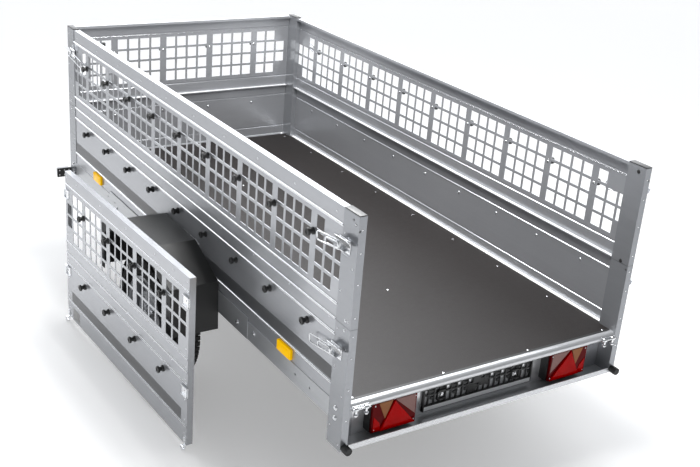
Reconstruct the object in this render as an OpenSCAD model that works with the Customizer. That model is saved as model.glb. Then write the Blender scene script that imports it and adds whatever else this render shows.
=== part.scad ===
// Single-axle box trailer with perforated mesh sides, V-shaped drawbar,
// jockey wheel and a tailgate that has been lifted off.
// Millimetres. Origin: centre of the tow ball in the coupling.
// +Y points forwards along the drawbar, +X to the right, +Z up.

/* [Box] */
// Outside length of the box
box_l = 2700; // [2430:270:3510]
// Outside width of the box
box_w = 1300; // [1100:20:1700]
// Height of the deck above the ground
bed_h = 530; // [500:5:640]
// Height of the lower side panels above the deck
panel_h = 288; // [260:2:420]
// Height of the mesh extension above the lower panels
mesh_h = 398; // [380:2:520]
// Thickness of the galvanised sheet
sheet_t = 2; // [1.5:0.5:3]
// Width of the flanges folded inwards along the sheet edges
flange_w = 27; // [20:1:32]
// Height of the stiffening beads above the sheet
bead_out = 3; // [2:0.5:4]
// Width of a stiffening bead
bead_w = 8; // [6:1:12]
// Thickness of the plywood deck
deck_t = 9; // [9:1:15]

/* [Corner posts] */
// Width of a corner post, along the side of the box
post_w = 90; // [70:2:100]
// Depth of a corner post, across the box
post_d = 29; // [25:1:40]
// Length of the rear posts below the deck
post_drop = 181; // [160:1:200]
// Wall of the posts
post_t = 2; // [1.5:0.5:3]

/* [Mesh] */
// Distance from one group of squares to the next
mesh_pitch = 270; // [260:2:290]
// Side of a square opening
mesh_square = 50; // [40:1:54]
// Narrow bar between two squares
mesh_bar = 11.5; // [8:0.5:14]
// Height of the lowest square above the joint of the panels
mesh_rise = 80; // [60:2:100]

/* [Frame] */
// Height of the side rails
rail_h = 74; // [60:2:100]
// Width of the side rail flanges
rail_flange = 42; // [30:2:60]
// Depth of the rear beam from its face to its web
beam_d = 75; // [60:1:90]
// Radius of the rounded top edge of the rear beam
beam_nose_r = 16; // [12:1:20]
// Height of the lip along the bottom of the rear beam
beam_lip = 20; // [14:1:30]
// Height of the drawbar beams
drawbar_h = 70; // [60:2:90]
// Width of the drawbar beams
drawbar_w = 45; // [40:1:60]
// Wall of the drawbar beams
drawbar_t = 3; // [2:0.5:5]
// Length of the drawbar beams under the box
drawbar_under = 640; // [500:20:900]
// Half the distance between the drawbar beams at their rear ends
drawbar_spread = 430; // [350:10:480]

/* [Coupling] */
// Height of the tow ball centre above the ground
coupling_h = 430; // [395:5:465]
// Distance from the tow ball centre to the front of the box
coupling_reach = 970; // [900:10:1300]
// Radius of the ball socket
socket_r = 25; // [25:0.1:25.5]

/* [Axle and wheels] */
// Wheel centre, measured forwards from the rear of the box
axle_y = 1320; // [1200:10:1400]
// Outside radius of the tyre
tyre_r = 273.5; // [260:0.5:290]
// Width of the tyre
tyre_w = 155; // [135:1:165]
// Radius of the rim where the tyre seats
rim_r = 165; // [152:1:178]
// Gap between the tyre and the side of the box
tyre_gap = 17; // [14:1:40]
// Length of the trailing arm
arm_l = 150; // [130:5:170]
// Outside size of the square axle tube
axle_tube = 70; // [60:5:80]
// Width of the mudguard
mudguard_w = 210; // [205:5:260]
// Length of the mudguard
mudguard_l = 770; // [720:10:900]
// Height of the mudguard top above the deck
mudguard_top = 142; // [130:2:200]

/* [Jockey wheel] */
// Outside radius of the jockey tube
jockey_r = 24; // [20:0.5:30]
// Distance of the jockey tube behind the tow ball
jockey_back = 190; // [180:5:215]
// Radius of the jockey wheel
jockey_wheel_r = 100; // [90:5:110]
// Travel of the jockey wheel
jockey_travel = 125; // [100:5:140]

/* [Tailgate] */
// Distance that the tailgate reaches below the deck when it is fitted
gate_drop = 36; // [30:1:60]
// Side gap between the tailgate and the corner posts when it is fitted
gate_gap = 3; // [2:0.5:6]
// Turn of the standing tailgate from the side of the box, in degrees
gate_turn = 2; // [0:0.5:8]
// Distance from the mudguard to the near end of the standing tailgate
gate_stand_off = 33; // [20:1:200]

/* [Lamps and fittings] */
// Width of a tail lamp
lamp_w = 198; // [150:2:220]
// Height of a tail lamp
lamp_h = 120; // [90:2:126]
// Width of the number plate holder
plate_w = 520; // [400:5:530]
// Height of the number plate holder
plate_h = 110; // [100:1:115]
// Radius of the rope knob heads
knob_r = 14; // [10:0.5:16]
// Length of the rope knobs
knob_l = 26; // [20:1:30]

/* [Hidden] */
$fn = 48;
fit_gap = 0.05;
seat_gap = 0.3;
ground_z = -coupling_h;
deck_z = ground_z + bed_h;
front_y = -coupling_reach;
rear_y = front_y - box_l;
half_w = box_w / 2;
seam_z = deck_z + panel_h;
top_z = seam_z + mesh_h;
rail_bottom = deck_z - deck_t - rail_h - sheet_t;
inner_w = box_w - 2 * post_d;
board_w = inner_w - 2 * gate_gap;
gate_h = gate_drop + panel_h + mesh_h;
mesh_step = mesh_square + mesh_bar;
wheel_x = half_w + tyre_gap + tyre_w / 2;
wheel_y = rear_y + axle_y;
wheel_z = ground_z + tyre_r;
arm_drop = 25;
tube_y = wheel_y + arm_l * cos(arm_drop);
tube_z = wheel_z + arm_l * sin(arm_drop);
beam_bottom = deck_z - post_drop - 1;
hub_face = wheel_x + 30;
knob_z = deck_z + 200;
mesh_knob_drop = 12;
mesh_knob_z = seam_z + mesh_rise + 3 * mesh_step - mesh_bar / 2 - mesh_knob_drop;
reflector_l = 100;
reflector_h = 42;
latch_y = 30;
jockey_wheel_z = ground_z + jockey_wheel_r;
fork_top = jockey_wheel_z + jockey_wheel_r + 16;
fork_pin = 16;
drawbar_near = 38;
drawbar_front = 60;
drawbar_turn = atan((drawbar_spread - drawbar_near) / (coupling_reach + drawbar_under - drawbar_front));
drawbar_len = (coupling_reach + drawbar_under - drawbar_front) / cos(drawbar_turn);
zinc = [0.72, 0.74, 0.76];
bright = [0.85, 0.86, 0.88];
black = [0.06, 0.06, 0.065];

// ---------- helpers ----------

// Places a child on the right side of the box: its X runs forwards from the rear, its -Y faces outwards
module on_right() {
    translate([half_w, rear_y, deck_z]) rotate([0, 0, 90]) children();
}

// Places a child on the left side of the box, as the mirror of the right side
module on_left() {
    mirror([1, 0, 0]) on_right() children();
}

// Places a child on both sides
module on_sides() {
    on_right() children();
    on_left() children();
}

// Both a child and its mirror image across the middle of the trailer
module pair() {
    children();
    mirror([1, 0, 0]) children();
}

// The front of the box: X runs to the left from the middle, -Y faces forwards
module on_front() {
    translate([0, front_y, deck_z]) rotate([0, 0, 180]) children();
}

// A stiffening bead along X, standing out of a sheet at y = 0
module bead(x0, x1, z) {
    translate([x0, 0, z])
        rotate([90, 0, 90])
            linear_extrude(x1 - x0)
                polygon([[0, -bead_w / 2], [-bead_out, -bead_w / 5], [-bead_out, bead_w / 5], [0, bead_w / 2]]);
}

// The hollow behind a bead, open to the inside of the sheet
module bead_hollow(x0, x1, z) {
    half = bead_w * 0.4;
    floor_y = sheet_t - bead_out * 0.8;
    translate([x0 - 1, 0, z])
        rotate([90, 0, 90])
            linear_extrude(x1 - x0 + 2)
                polygon([
                    [sheet_t + 1, -half], [sheet_t, -half], [floor_y, -half * 0.3],
                    [floor_y, half * 0.3], [sheet_t, half], [sheet_t + 1, half]
                ]);
}

// A rolled hem along the bottom edge of a sheet
module hem(x0, x1, z) {
    translate([x0, 0, z])
        rotate([90, 0, 90])
            linear_extrude(x1 - x0)
                polygon([[0, 0], [-1.6, 0], [-1.6, 3], [0, 6]]);
}

// A plain sheet from x0 to x1 and z0 to z1, with folded edges along the top and the bottom
module folded_sheet(x0, x1, z0, z1, flange_top, flange_bottom) {
    translate([x0, 0, z0]) cube([x1 - x0, sheet_t, z1 - z0]);
    translate([x0, 0, z1 - sheet_t]) cube([x1 - x0, flange_top, sheet_t]);
    translate([x0, 0, z0]) cube([x1 - x0, flange_bottom, sheet_t]);
}

// Number of squares kept in each row of an end group, from the top row down
function end_squares(row, top_count) = [top_count, 3, 3, 2][row];

// Groups of four by four squares with their centres in the list; the end groups lose some squares
module square_groups(centres, x0, x1, z0, top_count) {
    last = len(centres) - 1;
    intersection() {
        translate([x0, z0 - 1]) square([x1 - x0, 4 * mesh_step + 2]);
        union() {
            for (i = [0:last], row = [0:3], col = [0:3]) {
                kept = (i == 0) ? col >= 4 - end_squares(row, top_count)
                    : (i == last) ? col < end_squares(row, top_count) : true;
                if (kept)
                    translate([centres[i] + (col - 1.5) * mesh_step - mesh_square / 2,
                               z0 + (3 - row) * mesh_step])
                        square(mesh_square);
            }
        }
    }
}

// A mesh panel standing on the joint height, outer face at y = 0
module mesh_board(x0, x1, z0, centres, top_count) {
    margin = flange_w * 0.7;
    difference() {
        union() {
            folded_sheet(x0, x1, z0, z0 + mesh_h, flange_w, flange_w * 0.7);
            bead(x0, x1, z0 + mesh_rise - 23);
            bead(x0, x1, z0 + mesh_rise + 4 * mesh_step + 12);
            hem(x0, x1, z0);
        }
        bead_hollow(x0, x1, z0 + mesh_rise - 23);
        bead_hollow(x0, x1, z0 + mesh_rise + 4 * mesh_step + 12);
        translate([0, sheet_t + 1, z0])
            rotate([90, 0, 0])
                linear_extrude(sheet_t + 2)
                    square_groups(centres, x0 + margin * 0.2, x1 - margin * 0.2, mesh_rise, top_count);
    }
    translate([x0, flange_w - sheet_t, z0 + mesh_h - 12]) cube([x1 - x0, sheet_t, 12]);
}

// A lower panel, outer face at y = 0, from z0 to the joint height
module lower_board(x0, x1, z0, z1, bead_low, bead_high) {
    difference() {
        union() {
            folded_sheet(x0, x1, z0, z1, flange_w * 0.7, sheet_t);
            bead(x0, x1, bead_low);
            bead(x0, x1, bead_high);
        }
        bead_hollow(x0, x1, bead_low);
        bead_hollow(x0, x1, bead_high);
    }
}

// A rope knob: a waisted button with its foot at y = 0, pointing to -Y
module knob() {
    waist = knob_r * 0.6;
    rotate([90, 0, 0])
        rotate_extrude()
            polygon([
                [0, 0], [knob_r * 0.95, 0], [knob_r * 0.95, 4], [waist, 8], [waist, knob_l - 11],
                [knob_r, knob_l - 8], [knob_r, knob_l - 1], [knob_r * 0.9, knob_l],
                [knob_r * 0.55, knob_l], [knob_r * 0.45, knob_l - 2], [0, knob_l - 2]
            ]);
}

// Centres of the groups of squares along the side, and of the wide bars between them
side_bays = round(box_l / mesh_pitch);
side_start = (box_l - side_bays * mesh_pitch) / 2;
side_centres = [for (i = [0:side_bays - 1]) side_start + (i + 0.5) * mesh_pitch];
side_bars = [for (i = [1:side_bays - 1]) side_start + i * mesh_pitch];
end_half = ceil((board_w / mesh_pitch - 1) / 2);
end_centres = [for (i = [-end_half:end_half]) i * mesh_pitch];
end_bars = [for (i = [-end_half:end_half - 1]) (i + 0.5) * mesh_pitch];

// Point list of a line shifted sideways by t, with mitred corners
function unit(v) = v / norm(v);
function side_of(v) = [v[1], -v[0]];
function shifted(points, t) = [
    for (i = [0:len(points) - 1])
        let (
            a = side_of(unit(points[min(i + 1, len(points) - 1)] - points[min(i, len(points) - 2)])),
            b = side_of(unit(points[max(i, 1)] - points[max(i - 1, 0)]))
        )
        points[i] + (a + b) * t / (1 + a * b)
];
function reversed(list) = [for (i = [len(list) - 1:-1:0]) list[i]];

// ---------- box ----------

module deck_panel() {
    color([0.2, 0.18, 0.17])
        difference() {
            translate([-half_w + 2 * sheet_t, rear_y + 2 * beam_nose_r, deck_z - deck_t])
                cube([box_w - 4 * sheet_t, box_l - 2 * beam_nose_r - flange_w - sheet_t, deck_t]);
            for (x = [-half_w, half_w - post_d], y = [rear_y, front_y - post_w])
                translate([x - 1, y - 1, deck_z - deck_t - 1])
                    cube([post_d + 2, post_w + 2, deck_t + 2]);
        }
}

// The stronger length of the side rail over the axle
plate_rear = 690;
plate_front = 2130;

// Small holes in the side rail: distance from the rear and height from the deck
rail_holes = [
    [219, -47], [322, -46], [plate_front - 64, -29], [plate_front + 30, -31], [plate_front + 31, -68],
    [box_l - 320, -66]
];

// Side rail: a folded channel under the deck with the visible plate outside it, on the right side
module side_rail() {
    z0 = rail_bottom - deck_z;
    len = box_l - beam_d;
    on_right()
        difference() {
            union() {
                // visible plate with a stronger length over the axle
                translate([beam_d, 0, z0]) cube([len, sheet_t, -10 - z0]);
                translate([plate_rear, -sheet_t, z0]) cube([plate_front - plate_rear, sheet_t, 8 - z0]);
                // channel
                translate([beam_d, 0, z0]) cube([len, 3 * sheet_t, -30 - z0]);
                translate([beam_d, 2 * sheet_t, z0]) cube([len, sheet_t, -deck_t - z0]);
                translate([beam_d, 2 * sheet_t, -deck_t - sheet_t])
                    cube([len, rail_flange - 2 * sheet_t, sheet_t]);
                translate([beam_d, 0, z0]) cube([len, rail_flange, sheet_t]);
            }
            for (h = rail_holes)
                translate([h[0], -sheet_t - 1, h[1]]) rotate([-90, 0, 0]) cylinder(r = 4.5, h = 3 * sheet_t + sheet_t + 2);
        }
}

// Room for the four corner posts
module post_room() {
    for (y = [rear_y, front_y - post_w])
        translate([0, y, 0])
            pair() translate([half_w - post_d, 0, ground_z]) cube([post_d + 1, post_w, bed_h + 1000]);
}

module side_rail_right() {
    color(zinc) difference() { side_rail(); post_room(); }
}

module side_rail_left() {
    color(zinc) mirror([1, 0, 0]) difference() { side_rail(); post_room(); }
}

module front_beam() {
    z0 = rail_bottom - deck_z;
    w = box_w - 2 * rail_flange;
    color(zinc)
        on_front() {
            translate([-w / 2, 0, z0]) cube([w, sheet_t, -z0 - 2]);
            translate([-w / 2, 0, z0]) cube([w, 50, sheet_t]);
            translate([-w / 2, 0, -deck_t - sheet_t]) cube([w, 60, sheet_t]);
        }
}

module rear_beam() {
    w = inner_w;
    r = beam_nose_r;
    color(bright)
        translate([-w / 2, rear_y, deck_z])
            rotate([90, 0, 90])
                linear_extrude(w) {
                    difference() {
                        union() {
                            translate([r, -r]) circle(r);
                            translate([r, -2 * r]) square([r, 2 * r]);
                        }
                        translate([r, -r]) circle(r - sheet_t);
                        translate([r, -2 * r + sheet_t]) square([r - sheet_t, 2 * r - 2 * sheet_t]);
                    }
                    translate([r, -2 * r]) square([beam_d - r, sheet_t]);
                    translate([beam_d - sheet_t, -post_drop - 1]) square([sheet_t, post_drop + 1 - 2 * r + sheet_t]);
                    translate([0, -post_drop - 1]) square([beam_d, sheet_t]);
                    translate([0, -post_drop - 1]) square([sheet_t, beam_lip]);
                }
}

// Cross members: hat sections between the rails
module cross_members() {
    z0 = rail_bottom;
    top = deck_z - deck_t;
    w = box_w - 6 * sheet_t;
    color(zinc)
        for (y = [480, 960, axle_y + arm_l * cos(arm_drop), 2060])
            translate([-w / 2, rear_y + y - 35, 0])
                difference() {
                    translate([0, 0, z0 + sheet_t]) cube([w, 70, top - z0 - sheet_t]);
                    translate([-1, sheet_t, z0]) cube([w + 2, 70 - 2 * sheet_t, top - z0 - sheet_t]);
                    pair_ends(w, z0, top);
                }
}

// Space at both ends of a cross member for the flanges of the side rails
module pair_ends(w, z0, top) {
    for (x = [-1, w - rail_flange])
        translate([x, -1, 0]) {
            translate([0, 0, z0 - 1]) cube([rail_flange + 1, 72, sheet_t + 1]);
            translate([0, 0, top - sheet_t]) cube([rail_flange + 1, 72, sheet_t + 1]);
        }
}

module side_panel() {
    on_right()
        translate([0, sheet_t, 0])
            lower_board(post_w, box_l - post_w, -26, panel_h, 48, 235);
}

module side_panel_right() { color(zinc) side_panel(); }

module side_panel_left() { color(zinc) mirror([1, 0, 0]) side_panel(); }

module side_mesh() {
    on_right()
        translate([0, sheet_t, 0])
            mesh_board(post_w, box_l - post_w, panel_h, side_centres, 1);
}

module side_mesh_right() { color(zinc) side_mesh(); }

module side_mesh_left() { color(zinc) mirror([1, 0, 0]) side_mesh(); }

module front_panel() {
    color(zinc)
        on_front()
            translate([0, sheet_t, 0])
                lower_board(-inner_w / 2, inner_w / 2, 0, panel_h, 48, 235);
}

module front_mesh() {
    color(zinc)
        on_front()
            translate([0, sheet_t, 0])
                mesh_board(-inner_w / 2, inner_w / 2, panel_h, end_centres, 2);
}

// A corner post of the right side from z0 to z1: a hollow section
module post(z0, z1) {
    difference() {
        translate([0, 0, z0]) cube([post_w, post_d, z1 - z0]);
        translate([post_t, post_t, z0 - 1]) cube([post_w - 2 * post_t, post_d - 2 * post_t, z1 - z0 + 2]);
    }
}

module lower_posts() {
    color(zinc)
        on_sides() {
            post(-post_drop, panel_h);
            translate([box_l - post_w, 0, 0]) post(rail_bottom - deck_z, panel_h);
        }
}

module upper_posts() {
    color(zinc)
        on_sides() {
            post(panel_h, panel_h + mesh_h);
            translate([box_l - post_w, 0, 0]) post(panel_h, panel_h + mesh_h);
        }
}

module post_caps() {
    color(black)
        on_sides()
            for (x = [0, box_l - post_w]) {
                translate([x, 0, panel_h + mesh_h]) cube([post_w, post_d, 4]);
                translate([x + post_t, post_t, panel_h + mesh_h - 12])
                    cube([post_w - 2 * post_t, post_d - 2 * post_t, 12]);
            }
}

module rope_knobs() {
    color(black) {
        on_sides()
            for (x = side_bars) {
                translate([x, sheet_t, knob_z - deck_z]) knob();
                translate([x, sheet_t, mesh_knob_z - deck_z]) knob();
            }
        on_front()
            for (x = end_bars) {
                translate([x, sheet_t, knob_z - deck_z]) knob();
                translate([x, sheet_t, mesh_knob_z - deck_z]) knob();
            }
    }
}

// An open over-centre latch on a side wall: base plate, hinge box, lever, and wire loop swung back along the wall
module latch() {
    rod = 3;
    x0 = 50;
    reach = 134;
    half_h = 16;
    translate([6, -3, -22]) cube([68, 3, 44]);
    translate([22, -17, -18]) cube([48, 14, 36]);
    translate([-20, -21, -8]) cube([84, 4, 30]);
    for (z = [-half_h, half_h])
        translate([x0, -14, z]) rotate([0, 90, 0]) cylinder(r = rod, h = reach);
    for (x = [x0, x0 + reach])
        translate([x, -14, -half_h - rod]) cylinder(r = rod, h = 2 * (half_h + rod));
}

module latches() {
    color(bright)
        on_sides() {
            for (z = [panel_h - 85, panel_h + mesh_h - 100])
                translate([latch_y, 0, z]) latch();
            translate([box_l - latch_y, 0, panel_h + mesh_h - 100]) mirror([1, 0, 0]) latch();
        }
}

module hinge_brackets() {
    color(bright)
        pair()
            translate([inner_w / 2 - 70, rear_y, deck_z]) {
                translate([0, -4, -46]) cube([68, 4, 40]);
                for (x = [16, 54])
                    translate([x, 0, -32]) rotate([90, 0, 0]) cylinder(r = 9, h = 16);
            }
}

// ---------- lamps ----------

module tail_lamp_bodies() {
    color(black)
        pair()
            translate([plate_w / 2 + 52, rear_y + 38, beam_bottom + 20])
                cube([lamp_w, beam_d - sheet_t - 38, lamp_h]);
}

module tail_lamp_lenses() {
    color([0.7, 0.02, 0.03])
        pair()
            translate([plate_w / 2 + 52, rear_y + 24, beam_bottom + 20])
                cube([lamp_w, 14, lamp_h]);
}

module plate_holder() {
    color(black)
        translate([-plate_w / 2, rear_y + beam_d - sheet_t - 12, beam_bottom + 28])
            cube([plate_w, 12, plate_h]);
}

module side_reflectors() {
    color([1, 0.55, 0.05])
        on_sides()
            for (x = [401, box_l - 409])
                translate([x - reflector_l / 2, sheet_t - 10, -4])
                    cube([reflector_l, 10, reflector_h]);
}

module marker_brackets() {
    color(black)
        pair()
            translate([half_w - post_d, front_y, deck_z - 110])
                cube([post_d + 72, 4, 48]);
}

module marker_lamps() {
    color([0.92, 0.93, 0.95])
        pair()
            translate([half_w + 6, front_y + 4, deck_z - 108])
                cube([62, 24, 44]);
}

module rear_buffers() {
    color(black)
        pair()
            translate([half_w - post_d / 2, rear_y, deck_z - post_drop + 16])
                rotate([90, 0, 0]) cylinder(r = 15, h = 34);
}

// ---------- drawbar and coupling ----------

// Local frame of the right drawbar beam: +Y forwards along the beam from its rear end, X across it
module along_drawbar() {
    translate([drawbar_spread, front_y - drawbar_under, rail_bottom - drawbar_h])
        rotate([0, 0, drawbar_turn])
            children();
}

module drawbar_beam() {
    along_drawbar()
        difference() {
            translate([-drawbar_w / 2, 0, 0]) cube([drawbar_w, drawbar_len, drawbar_h]);
            translate([-drawbar_w / 2 + drawbar_t, -1, drawbar_t])
                cube([drawbar_w - 2 * drawbar_t, drawbar_len + 2, drawbar_h - 2 * drawbar_t]);
        }
}

module drawbar_right() { color(zinc) drawbar_beam(); }

module drawbar_left() { color(zinc) mirror([1, 0, 0]) drawbar_beam(); }

module coupling_head() {
    color(bright)
        difference() {
            union() {
                translate([0, 0, -18]) cylinder(r = 36, h = 18 + rail_bottom + 25);
                translate([-30, -160, rail_bottom]) cube([60, 160, 26]);
                translate([-58, -230, rail_bottom]) cube([116, 110, 8]);
            }
            translate([0, 0, -19]) cylinder(r = socket_r, h = 19);
            sphere(r = socket_r);
        }
}

module coupling_handle() {
    color(black)
        translate([0, 0, rail_bottom + 26]) {
            translate([-14, -120, 0]) cube([28, 90, 22]);
            translate([-12, -56, 22]) cube([24, 26, 26]);
            translate([-12, -150, 36]) cube([24, 96, 12]);
        }
}

// ---------- jockey wheel ----------

// Place of the jockey tube: beside the left drawbar beam
jockey_along = drawbar_len - (jockey_back - drawbar_front) / cos(drawbar_turn);
jockey_out = drawbar_w / 2 + 16 + jockey_r;
jockey_x = -(drawbar_spread - jockey_along * sin(drawbar_turn) + jockey_out * cos(drawbar_turn));
jockey_y = front_y - drawbar_under + jockey_along * cos(drawbar_turn) + jockey_out * sin(drawbar_turn);
jockey_z0 = fork_top + jockey_travel + fork_pin + 5;
jockey_z1 = rail_bottom + 330;

module jockey_clamp() {
    z0 = drawbar_h - 46;
    color(bright)
        mirror([1, 0, 0])
            along_drawbar()
                difference() {
                    union() {
                        translate([drawbar_w / 2, jockey_along - 30, z0]) cube([jockey_out - drawbar_w / 2, 60, 40]);
                        translate([jockey_out, jockey_along, z0]) cylinder(r = jockey_r + 8, h = 40);
                        translate([jockey_out + jockey_r + 4, jockey_along, z0 + 20])
                            rotate([0, 90, 0]) cylinder(r = 7, h = 46);
                    }
                    translate([jockey_out, jockey_along, z0 - 1]) cylinder(r = jockey_r + fit_gap, h = 42);
                }
}

module jockey_tube() {
    color(zinc)
        translate([jockey_x, jockey_y, 0]) {
            difference() {
                translate([0, 0, jockey_z0]) cylinder(r = jockey_r, h = jockey_z1 - jockey_z0);
                translate([0, 0, jockey_z0 - 1]) cylinder(r = jockey_r - 2.5, h = jockey_z1 - jockey_z0 - 9);
            }
            translate([0, 0, jockey_z1]) cylinder(r = jockey_r + 4, h = 14);
        }
}

module jockey_crank() {
    color(black)
        translate([jockey_x, jockey_y, jockey_z1 + 14]) {
            cylinder(r = 9, h = 30);
            translate([-9, 0, 18]) cube([18, 105, 8]);
            translate([0, 96, 26]) cylinder(r = 13, h = 78);
        }
}

module jockey_leg() {
    color(zinc)
        translate([jockey_x, jockey_y, fork_top + seat_gap]) {
            difference() {
                cylinder(r = jockey_r - 2.5 - seat_gap, h = jockey_travel + 190);
                translate([0, 0, 24]) cylinder(r = jockey_r - 6, h = jockey_travel + 190);
                translate([0, 0, -1]) cylinder(r = 10 + fit_gap, h = fork_pin + 5);
            }
        }
}

fork_trail = 40;
fork_in = 30;

module jockey_fork() {
    color(zinc)
        translate([jockey_x, jockey_y, 0]) {
            translate([0, 0, fork_top]) cylinder(r = 10, h = fork_pin);
            translate([0, 0, fork_top - 8]) cylinder(r = 32, h = 8);
            translate([-fork_in - 5, -fork_trail - 22, fork_top - 8]) cube([2 * fork_in + 10, fork_trail + 44, 4]);
            for (x = [-fork_in - 5, fork_in])
                translate([x, 0, 0]) {
                    translate([0, -fork_trail - 22, jockey_wheel_z + 30]) cube([5, fork_trail + 44, fork_top - 8 - jockey_wheel_z - 26]);
                    translate([0, -fork_trail - 22, jockey_wheel_z - 18]) cube([5, 44, 50]);
                }
            translate([-fork_in - 10, -fork_trail, jockey_wheel_z])
                rotate([0, 90, 0]) cylinder(r = 8, h = 2 * fork_in + 20);
        }
}

module jockey_wheel() {
    w = 50;
    color(black)
        translate([jockey_x - w / 2, jockey_y - fork_trail, jockey_wheel_z])
            rotate([0, 90, 0])
                rotate_extrude($fn = 64)
                    polygon([
                        [8 + fit_gap, -3], [22, -3], [22, 12], [jockey_wheel_r - 34, 15], [jockey_wheel_r - 32, 4],
                        [jockey_wheel_r - 12, 0], [jockey_wheel_r, 12], [jockey_wheel_r, w - 12],
                        [jockey_wheel_r - 12, w], [jockey_wheel_r - 32, w - 4], [jockey_wheel_r - 34, w - 15],
                        [22, w - 12], [22, w + 3], [8 + fit_gap, w + 3]
                    ]);
}

// ---------- axle and wheels ----------

module axle_beam() {
    w = 2 * (half_w - 30);
    s = axle_tube;
    color(zinc) {
        translate([-w / 2, tube_y - s / 2, tube_z - s / 2])
            difference() {
                cube([w, s, s]);
                translate([-1, 4, 4]) cube([w + 2, s - 8, s - 8]);
            }
        pair()
            for (x = [half_w - 44, half_w - 76])
                translate([x, tube_y - s / 2 - 20, tube_z + s / 2])
                    cube([6, s + 40, rail_bottom - tube_z - s / 2]);
    }
}

module axle_arms() {
    x0 = half_w - 30;
    x1 = half_w + 5;
    color(zinc)
        pair() {
            translate([x0, wheel_y, wheel_z])
                rotate([90, 0, 90])
                    linear_extrude(x1 - x0)
                        rotate(arm_drop) {
                            circle(28);
                            translate([0, -20]) square([arm_l, 40]);
                            translate([arm_l, 0]) circle(32);
                        }
            translate([x1, wheel_y, wheel_z]) rotate([0, 90, 0]) cylinder(r = 16, h = hub_face + 12 - x1);
        }
}

// The wheel's parts are drawn about the X axis, +X outwards, middle of the tyre at x = 0
module on_axle(side) {
    translate([side * wheel_x, wheel_y, wheel_z])
        mirror([side < 0 ? 1 : 0, 0, 0])
            rotate([0, 90, 0])
                children();
}

module tyre() {
    h = tyre_w / 2;
    bead_h = 57;
    difference() {
        rotate_extrude($fn = 96)
            polygon([
                [rim_r, -bead_h], [rim_r + 12, -bead_h - 3], [rim_r + 30, -h + 6], [rim_r + 52, -h],
                [tyre_r - 30, -h + 2], [tyre_r - 10, -h + 12], [tyre_r - 2, -h + 24], [tyre_r, -h + 40],
                [tyre_r, h - 40], [tyre_r - 2, h - 24], [tyre_r - 10, h - 12], [tyre_r - 30, h - 2],
                [rim_r + 52, h], [rim_r + 30, h - 6], [rim_r + 12, bead_h + 3], [rim_r, bead_h],
                [rim_r, bead_h - 14], [rim_r + 14, bead_h - 8], [rim_r + 34, h - 16], [tyre_r - 24, h - 16],
                [tyre_r - 14, h - 34], [tyre_r - 14, -h + 34], [tyre_r - 24, -h + 16], [rim_r + 34, -h + 16],
                [rim_r + 14, -bead_h + 8], [rim_r, -bead_h + 14]
            ]);
    }
}

module rim() {
    b = 57;
    face = hub_face - wheel_x;
    difference() {
        rotate_extrude($fn = 96)
            polygon([
                [rim_r + 14, -b - 8], [rim_r + 16, -b - 6], [rim_r + 9, -b - 3], [rim_r, -b], [rim_r, -b + 24],
                [rim_r - 14, -b + 32], [rim_r - 14, -6], [rim_r, 4], [rim_r, b],
                [rim_r + 9, b + 3], [rim_r + 16, b + 6], [rim_r + 14, b + 8],
                [rim_r - 3, b + 2], [rim_r - 3, 6],
                [rim_r - 12, 2], [rim_r - 30, 12], [rim_r - 58, face + 14], [92, face + 12], [78, face + 4],
                [29, face + 4], [29, face], [80, face], [94, face + 8], [rim_r - 60, face + 10], [rim_r - 34, 8],
                [rim_r - 17, -4], [rim_r - 17, -b + 30], [rim_r - 3, -b + 22], [rim_r - 3, -b - 2]
            ]);
        for (a = [0:30:330])
            rotate([0, 0, a]) translate([rim_r - 44, 0, 0]) cylinder(r = 9, h = 80);
        for (a = [45:90:315])
            rotate([0, 0, a]) translate([50, 0, 0]) cylinder(r = 6.5, h = 80);
    }
}

module hub() {
    face = hub_face - wheel_x;
    inner = half_w + 5 + seat_gap - wheel_x;
    difference() {
        union() {
            translate([0, 0, face - 10]) cylinder(r = 62, h = 10);
            translate([0, 0, inner]) cylinder(r = 44, h = face - 10 - inner);
            translate([0, 0, face]) cylinder(r = 28.5, h = 30);
            for (a = [45:90:315])
                rotate([0, 0, a]) translate([50, 0, face]) {
                    cylinder(r = 6, h = 8);
                    translate([0, 0, 4.2]) cylinder(r = 9.5, h = 14, $fn = 6);
                }
        }
        translate([0, 0, inner - 1]) cylinder(r = 16 + fit_gap, h = face + 16 - inner);
    }
}

module tyre_left() { color(black) on_axle(-1) tyre(); }
module rim_left() { color(bright) on_axle(-1) rim(); }
module hub_left() { color(zinc) on_axle(-1) hub(); }
module tyre_right() { color(black) on_axle(1) tyre(); }
module rim_right() { color(bright) on_axle(1) rim(); }
module hub_right() { color(zinc) on_axle(1) hub(); }

// Mudguard on the right side: a bent strip with a skirt along its outer edge
module mudguard() {
    half = mudguard_l / 2;
    flat = 155;
    line = [
        [axle_y - half, -160], [axle_y - half + 10, mudguard_top - 94], [axle_y - flat, mudguard_top],
        [axle_y + flat, mudguard_top], [axle_y + half - 10, mudguard_top - 94], [axle_y + half, -160]
    ];
    on_right()
        rotate([90, 0, 0]) {
            translate([0, 0, sheet_t])
                linear_extrude(mudguard_w - sheet_t)
                    polygon(concat(line, reversed(shifted(line, 4))));
            translate([0, 0, mudguard_w - 4])
                linear_extrude(4)
                    polygon(concat(line, reversed(shifted(line, 45))));
        }
}

module mudguard_right() { color(black) mudguard(); }

module mudguard_left() { color(black) mirror([1, 0, 0]) mudguard(); }

// ---------- tailgate, standing beside the left wheel ----------

gate_x = -half_w - mudguard_w - gate_stand_off;
gate_y = rear_y + 700;
foot_h = 22;

// Local frame of the tailgate: X from its front end to its rear end, -Y is its outer face, z = 0 its lower edge
module on_gate() {
    translate([gate_x, gate_y, ground_z + foot_h])
        rotate([0, 0, -90 + gate_turn])
            translate([-board_w, 0, 0])
                children();
}

gate_centres = [for (c = end_centres) c + board_w / 2];
gate_bars = [for (c = end_bars) c + board_w / 2];
gate_seam = gate_drop + panel_h;

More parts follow.
